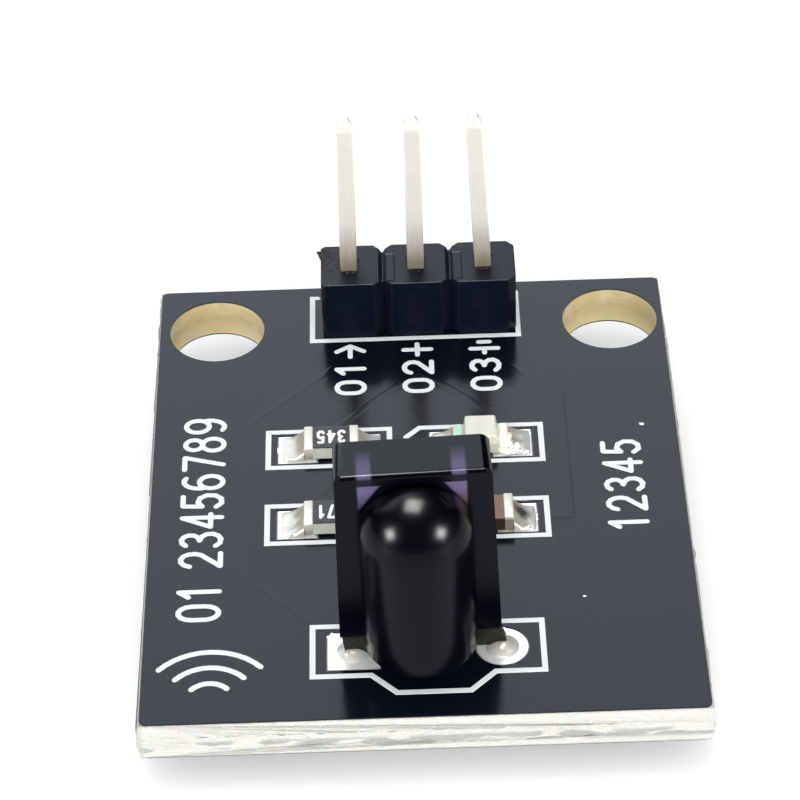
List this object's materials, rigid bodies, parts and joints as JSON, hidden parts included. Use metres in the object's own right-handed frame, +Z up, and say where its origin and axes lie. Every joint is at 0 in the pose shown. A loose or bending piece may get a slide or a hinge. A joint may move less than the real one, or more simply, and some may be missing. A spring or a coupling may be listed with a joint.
{
  "type": "infrared receiver module",
  "caption": "Small scored circuit board with an upright three-lead infrared receiver, a pin header, an indicator lamp and two mounting holes.",
  "frame": {"origin": "under the middle of the board, at the height of the trimmed lead tips that the module stands on", "axes": "+X to the right across the board's short side, +Y from the receiver towards the pin header, +Z up out of the component face"},
  "size_m": [0.0196, 0.0234, 0.0121],
  "materials": {
    "laminate": "fibreglass laminate, broken edges",
    "tinned_copper": "tinned",
    "solder_mask": "semi-gloss black",
    "white_print": "matt white",
    "header_plastic": "satin black",
    "pin_metal": "bright plated",
    "solder": "bright solder",
    "dark_epoxy": "gloss, dark violet black",
    "lead_metal": "tinned",
    "silicon": "polished",
    "white_ceramic": "matt",
    "black_glaze": "gloss",
    "end_cap_tin": "tinned",
    "brown_ceramic": "satin",
    "lamp_board": "pale laminate",
    "clear_epoxy": "cloudy clear",
    "green_paint": "matt"
  },
  "bodies": {
    "root": {"laminate": "laminate", "top_copper": "tinned_copper", "bottom_copper": "tinned_copper", "top_solder_mask": "solder_mask", "bottom_solder_mask": "solder_mask", "header_hole_plating": "tinned_copper", "receiver_hole_plating": "tinned_copper", "outline_print": "white_print", "number_print": "white_print", "wave_print": "white_print", "header_insulator": "header_plastic", "header_pin_left": "pin_metal", "header_pin_middle": "pin_metal", "header_pin_right": "pin_metal", "header_solder_joints": "solder", "receiver_body": "dark_epoxy", "receiver_output_lead": "lead_metal", "receiver_ground_lead": "lead_metal", "receiver_supply_lead": "lead_metal", "receiver_photo_chip": "silicon", "receiver_amplifier_chip": "silicon", "receiver_solder_joints": "solder", "lamp_resistor_ceramic": "white_ceramic", "lamp_resistor_glaze": "black_glaze", "lamp_resistor_end_caps": "end_cap_tin", "lamp_resistor_digits": "white_print", "lamp_resistor_solder": "solder", "supply_resistor_ceramic": "white_ceramic", "supply_resistor_glaze": "black_glaze", "supply_resistor_end_caps": "end_cap_tin", "supply_resistor_digits": "white_print", "supply_resistor_solder": "solder", "capacitor_ceramic": "brown_ceramic", "capacitor_end_caps": "end_cap_tin", "capacitor_solder": "solder", "lamp_base": "lamp_board", "lamp_end_caps": "end_cap_tin", "lamp_chip_die": "silicon", "lamp_clear_cap": "clear_epoxy", "lamp_polarity_mark": "green_paint", "lamp_solder": "solder"}
  },
  "joints": []
}
